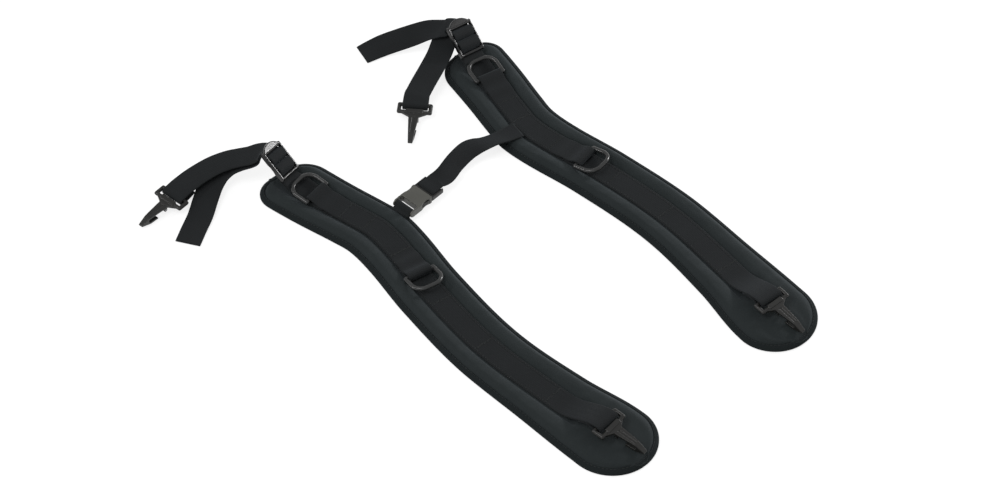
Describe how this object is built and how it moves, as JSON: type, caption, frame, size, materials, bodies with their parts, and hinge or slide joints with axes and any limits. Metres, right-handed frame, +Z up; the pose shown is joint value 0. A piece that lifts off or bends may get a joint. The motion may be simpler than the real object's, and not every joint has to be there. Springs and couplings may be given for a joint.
{
  "type": "padded shoulder straps",
  "caption": "Mirrored padded shoulder straps with sewn webbing, D-rings, ladder-lock adjusters, swivelling snap hooks and a sternum strap with a side-release buckle.",
  "frame": {"origin": "middle of the laid-out straps, on the plane the pads lie on", "axes": "+Y along the pads towards the ladder locks, +Z up from the lining to the webbing side, +X from the left pad to the right pad"},
  "size_m": [0.4152, 0.5728, 0.0412],
  "materials": {
    "foam": "soft closed-cell foam",
    "face_fabric": "woven nylon, dull",
    "lining": "knitted mesh",
    "binding": "ribbed tape",
    "webbing": "flat woven nylon",
    "thread": "close stitching",
    "ring_plastic": "satin",
    "hook_plastic": "satin",
    "lock_plastic": "semi-gloss",
    "buckle_plastic": "satin",
    "steel": "bright"
  },
  "bodies": {
    "left_strap": {"left_foam_core": "foam", "left_face_cover": "face_fabric", "left_back_cover": "lining", "left_edge_binding": "binding", "left_spine_webbing": "webbing", "left_ring_strap": "webbing", "left_bartacks": "thread", "buckle_tab": "webbing", "buckle_socket": "buckle_plastic"},
    "right_strap": {"right_foam_core": "foam", "right_face_cover": "face_fabric", "right_back_cover": "lining", "right_edge_binding": "binding", "right_spine_webbing": "webbing", "right_ring_strap": "webbing", "right_bartacks": "thread", "buckle_plug": "buckle_plastic", "sternum_webbing": "webbing"},
    "front_prong": {"front_prong": "buckle_plastic"},
    "rear_prong": {"rear_prong": "buckle_plastic"},
    "left_upper_ring": {"left_upper_ring": "ring_plastic"},
    "left_lower_ring": {"left_lower_ring": "ring_plastic"},
    "left_lock": {"left_ladder_lock": "lock_plastic", "left_adjuster_webbing": "webbing"},
    "left_lower_hook": {"left_lower_hook": "hook_plastic", "left_lower_gate_pin": "steel", "left_lower_gate_spring": "steel"},
    "left_lower_gate": {"left_lower_gate": "hook_plastic"},
    "left_upper_hook": {"left_upper_hook": "hook_plastic", "left_upper_gate_pin": "steel", "left_upper_gate_spring": "steel"},
    "left_upper_gate": {"left_upper_gate": "hook_plastic"},
    "right_upper_ring": {"right_upper_ring": "ring_plastic"},
    "right_lower_ring": {"right_lower_ring": "ring_plastic"},
    "right_lock": {"right_ladder_lock": "lock_plastic", "right_adjuster_webbing": "webbing"},
    "right_lower_hook": {"right_lower_hook": "hook_plastic", "right_lower_gate_pin": "steel", "right_lower_gate_spring": "steel"},
    "right_lower_gate": {"right_lower_gate": "hook_plastic"},
    "right_upper_hook": {"right_upper_hook": "hook_plastic", "right_upper_gate_pin": "steel", "right_upper_gate_spring": "steel"},
    "right_upper_gate": {"right_upper_gate": "hook_plastic"}
  },
  "joints": [
    {"name": "sternum_release", "type": "slide", "parent": "left_strap", "child": "right_strap", "axis": [0.9962, 0.0872, 0], "range_m": [0, 0.06], "deforming": ["front_prong", "rear_prong"]},
    {"name": "front_prong_pinch", "type": "hinge", "parent": "right_strap", "child": "front_prong", "pos_m": [0.01944, 0.08199, 0.00945], "axis": [0, 0, -1], "range_deg": [0, 13], "stiffness_Nm_per_rad": 0.3},
    {"name": "rear_prong_pinch", "type": "hinge", "parent": "right_strap", "child": "rear_prong", "pos_m": [0.01818, 0.09633, 0.00945], "axis": [0, 0, 1], "range_deg": [0, 13], "stiffness_Nm_per_rad": 0.3},
    {"name": "left_upper_ring_swing", "type": "hinge", "parent": "left_strap", "child": "left_upper_ring", "pos_m": [-0.05683, 0.1568, 0.011], "axis": [0.9807, 0.1956, 0], "range_deg": [0, 140]},
    {"name": "left_lower_ring_swing", "type": "hinge", "parent": "left_strap", "child": "left_lower_ring", "pos_m": [-0.05105, 0.0148, 0.011], "axis": [-0.9839, 0.1786, 0], "range_deg": [-8, 140]},
    {"name": "left_lock_swing", "type": "hinge", "parent": "left_strap", "child": "left_lock", "pos_m": [-0.06359, 0.1963, 0.022], "axis": [0.9068, 0.3212, -0.2731], "range_deg": [-35, 0]},
    {"name": "left_lower_hook_swing", "type": "hinge", "parent": "left_strap", "child": "left_lower_hook", "pos_m": [-0.04952, -0.2347, 0.0195], "axis": [-0.9879, -0.155, 0], "range_deg": [0, 110]},
    {"name": "left_lower_gate_open", "type": "hinge", "parent": "left_lower_hook", "child": "left_lower_gate", "pos_m": [-0.04688, -0.25153, 0.01444], "axis": [-0.9879, -0.155, 0], "range_deg": [0, 11], "stiffness_Nm_per_rad": 0.02, "springref_deg": -17.19, "deforming": ["left_lower_gate_spring"]},
    {"name": "left_upper_hook_swing", "type": "hinge", "parent": "left_lock", "child": "left_upper_hook", "pos_m": [-0.15709, 0.2478, 0.0085], "axis": [-0.1219, 0.9925, 0], "range_deg": [-60, 100]},
    {"name": "left_upper_gate_open", "type": "hinge", "parent": "left_upper_hook", "child": "left_upper_gate", "pos_m": [-0.1744, 0.24567, 0.00509], "axis": [-0.1219, 0.9925, 0], "range_deg": [0, 11], "stiffness_Nm_per_rad": 0.02, "springref_deg": -17.19, "deforming": ["left_upper_gate_spring"]},
    {"name": "right_upper_ring_swing", "type": "hinge", "parent": "right_strap", "child": "right_upper_ring", "pos_m": [0.17023, 0.1608, 0.011], "axis": [0.9807, -0.1956, 0], "range_deg": [0, 140]},
    {"name": "right_lower_ring_swing", "type": "hinge", "parent": "right_strap", "child": "right_lower_ring", "pos_m": [0.16445, 0.0188, 0.011], "axis": [-0.9839, -0.1786, 0], "range_deg": [-8, 140]},
    {"name": "right_lock_swing", "type": "hinge", "parent": "right_strap", "child": "right_lock", "pos_m": [0.17699, 0.2003, 0.022], "axis": [0.9861, 0.0024, -0.166], "range_deg": [-35, 0]},
    {"name": "right_lower_hook_swing", "type": "hinge", "parent": "right_strap", "child": "right_lower_hook", "pos_m": [0.16292, -0.2307, 0.0195], "axis": [-1, -0.0015, 0], "range_deg": [0, 110]},
    {"name": "right_lower_gate_open", "type": "hinge", "parent": "right_lower_hook", "child": "right_lower_gate", "pos_m": [0.16294, -0.24774, 0.01444], "axis": [-1, -0.0015, 0], "range_deg": [0, 11], "stiffness_Nm_per_rad": 0.02, "springref_deg": -17.19, "deforming": ["right_lower_gate_spring"]},
    {"name": "right_upper_hook_swing", "type": "hinge", "parent": "right_lock", "child": "right_upper_hook", "pos_m": [0.09149, 0.1823, 0.0085], "axis": [-0.6691, 0.7431, 0], "range_deg": [-60, 100]},
    {"name": "right_upper_gate_open", "type": "hinge", "parent": "right_upper_hook", "child": "right_upper_gate", "pos_m": [0.07853, 0.17063, 0.00509], "axis": [-0.6691, 0.7431, 0], "range_deg": [0, 11], "stiffness_Nm_per_rad": 0.02, "springref_deg": -17.19, "deforming": ["right_upper_gate_spring"]}
  ],
  "couplings": [
    {"joint": "front_prong_pinch", "follows": "rear_prong_pinch", "ratio": 1}
  ]
}
